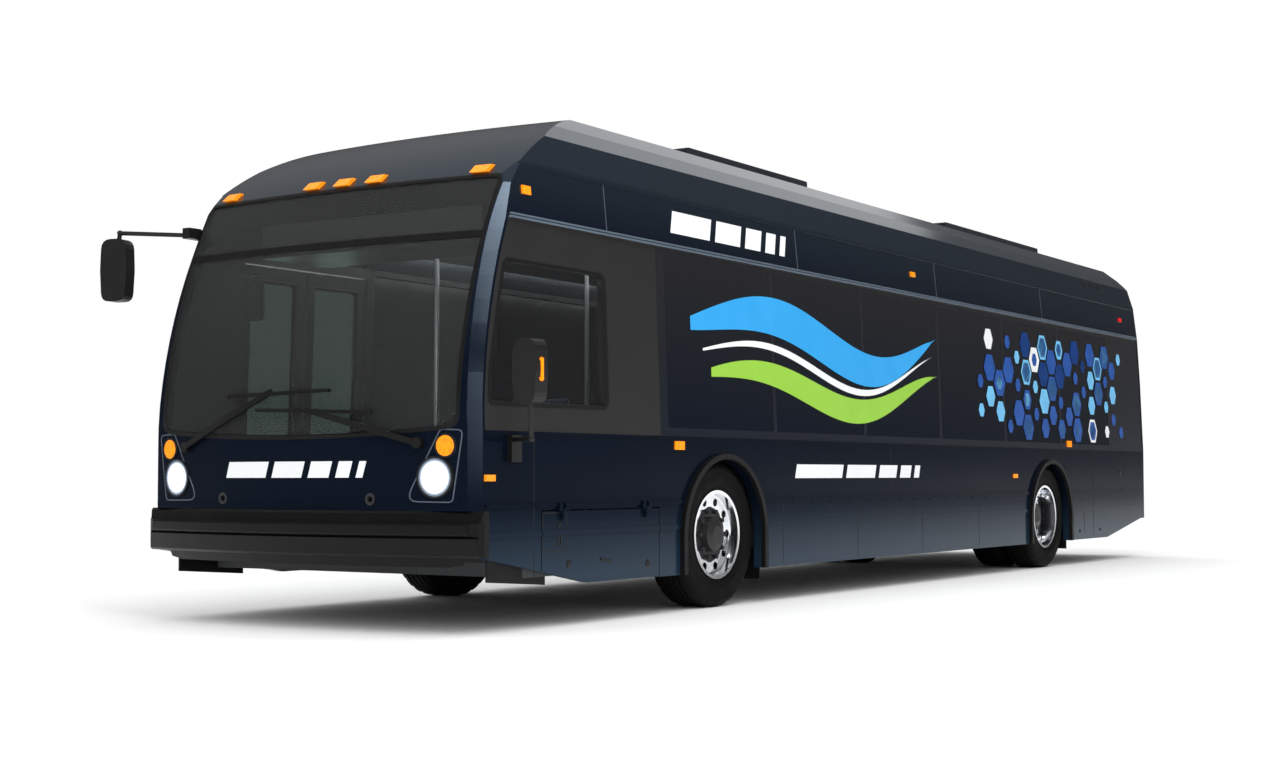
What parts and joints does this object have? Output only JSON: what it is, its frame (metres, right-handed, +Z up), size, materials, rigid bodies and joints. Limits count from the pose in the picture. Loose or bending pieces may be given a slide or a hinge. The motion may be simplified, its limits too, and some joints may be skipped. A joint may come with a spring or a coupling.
{
  "type": "low-floor electric city bus",
  "caption": "Single-deck low-floor city bus with bowed windscreen, roof fairings, hollow cabin, steered front wheels, twin rear wheels, swing doors and lifting lids.",
  "frame": {"origin": "on the road, mid length and mid width of the whole bus", "axes": "+X forward, +Y to the bus's left, +Z up"},
  "size_m": [12.0498, 3.4144, 3.197],
  "materials": {
    "body_paint": "gloss dark navy",
    "floor_grey": "matt",
    "lining": "matt",
    "clear_glass": "clear, slightly tinted",
    "film_glass": "dark filmed pane",
    "sign_black": "matt",
    "bumper_black": "satin",
    "lamp_white": "clear lens",
    "lamp_amber": "clear amber",
    "lamp_red": "clear red",
    "trim_black": "satin",
    "cast_grey": "painted dark",
    "rim_bright": "polished",
    "tyre_black": "matt",
    "block_grey": "satin",
    "seat_blue": "woven",
    "pole_steel": "brushed",
    "socket_steel": "dark",
    "door_dark": "satin dark"
  },
  "bodies": {
    "chassis": {"floor_frame": "floor_grey", "left_skirt": "body_paint", "right_skirt": "body_paint", "left_side": "body_paint", "right_side": "body_paint", "coves": "body_paint", "ceiling": "lining", "roof": "body_paint", "roof_fairings": "body_paint", "roof_units": "block_grey", "front_cap": "body_paint", "front_mask": "body_paint", "screen_frame": "body_paint", "front_glass": "clear_glass", "sign_box": "sign_black", "side_windows": "film_glass", "rear_wall": "body_paint", "front_bumper": "bumper_black", "rear_bumper": "bumper_black", "headlamps": "lamp_white", "amber_lamps": "lamp_amber", "red_lamps": "lamp_red", "mirrors": "trim_black", "wipers": "trim_black", "arch_trims": "bumper_black", "mud_flaps": "bumper_black", "front_axle": "cast_grey", "rear_axle": "cast_grey", "drive_blocks": "block_grey", "dashboard": "trim_black", "seats": "seat_blue", "stanchions": "pole_steel", "tow_sockets": "socket_steel"},
    "knuckle_left": {"knuckle_left": "cast_grey"},
    "knuckle_right": {"knuckle_right": "cast_grey"},
    "wheel_front_left": {"rim_front_left": "rim_bright", "tyre_front_left": "tyre_black"},
    "wheel_front_right": {"rim_front_right": "rim_bright", "tyre_front_right": "tyre_black"},
    "wheel_rear_left": {"rim_rear_left": "rim_bright", "tyres_rear_left": "tyre_black"},
    "wheel_rear_right": {"rim_rear_right": "rim_bright", "tyres_rear_right": "tyre_black"},
    "front_door_fore": {"front_door_fore": "door_dark"},
    "front_door_aft": {"front_door_aft": "door_dark"},
    "rear_door_fore": {"rear_door_fore": "door_dark"},
    "rear_door_aft": {"rear_door_aft": "door_dark"},
    "skirt_hatch": {"skirt_hatch": "body_paint"},
    "rear_lid": {"rear_lid": "body_paint"}
  },
  "joints": [
    {"name": "steer_left", "type": "hinge", "parent": "chassis", "child": "knuckle_left", "pos_m": [3.165, 0.96, 0.49], "axis": [0, 0, 1], "range_deg": [-40, 40]},
    {"name": "steer_right", "type": "hinge", "parent": "chassis", "child": "knuckle_right", "pos_m": [3.165, -0.96, 0.49], "axis": [0, 0, 1], "range_deg": [-40, 40]},
    {"name": "spin_front_left", "type": "hinge", "parent": "knuckle_left", "child": "wheel_front_left", "pos_m": [3.165, 1.11, 0.49], "axis": [0, 1, 0], "continuous": true},
    {"name": "spin_front_right", "type": "hinge", "parent": "knuckle_right", "child": "wheel_front_right", "pos_m": [3.165, -1.11, 0.49], "axis": [0, 1, 0], "continuous": true},
    {"name": "spin_rear_left", "type": "hinge", "parent": "chassis", "child": "wheel_rear_left", "pos_m": [-3.035, 1.11, 0.49], "axis": [0, 1, 0], "continuous": true},
    {"name": "spin_rear_right", "type": "hinge", "parent": "chassis", "child": "wheel_rear_right", "pos_m": [-3.035, -1.11, 0.49], "axis": [0, 1, 0], "continuous": true},
    {"name": "front_door_fore_swing", "type": "hinge", "parent": "chassis", "child": "front_door_fore", "pos_m": [5.16, -1.313, 1.3], "axis": [0, 0, 1], "range_deg": [0, 85]},
    {"name": "front_door_aft_swing", "type": "hinge", "parent": "chassis", "child": "front_door_aft", "pos_m": [3.96, -1.313, 1.3], "axis": [0, 0, -1], "range_deg": [0, 85]},
    {"name": "rear_door_fore_swing", "type": "hinge", "parent": "chassis", "child": "rear_door_fore", "pos_m": [-0.85, -1.313, 1.3], "axis": [0, 0, 1], "range_deg": [0, 85]},
    {"name": "rear_door_aft_swing", "type": "hinge", "parent": "chassis", "child": "rear_door_aft", "pos_m": [-2, -1.313, 1.3], "axis": [0, 0, -1], "range_deg": [0, 85]},
    {"name": "skirt_hatch_lift", "type": "hinge", "parent": "chassis", "child": "skirt_hatch", "pos_m": [4.6, 1.313, 0.69], "axis": [1, 0, 0], "range_deg": [0, 90]},
    {"name": "rear_lid_lift", "type": "hinge", "parent": "chassis", "child": "rear_lid", "pos_m": [-5.953, 0, 1.75], "axis": [0, 1, 0], "range_deg": [0, 80]}
  ],
  "couplings": [
    {"joint": "steer_right", "follows": "steer_left", "ratio": 1},
    {"joint": "front_door_aft_swing", "follows": "front_door_fore_swing", "ratio": 1},
    {"joint": "rear_door_aft_swing", "follows": "rear_door_fore_swing", "ratio": 1}
  ]
}
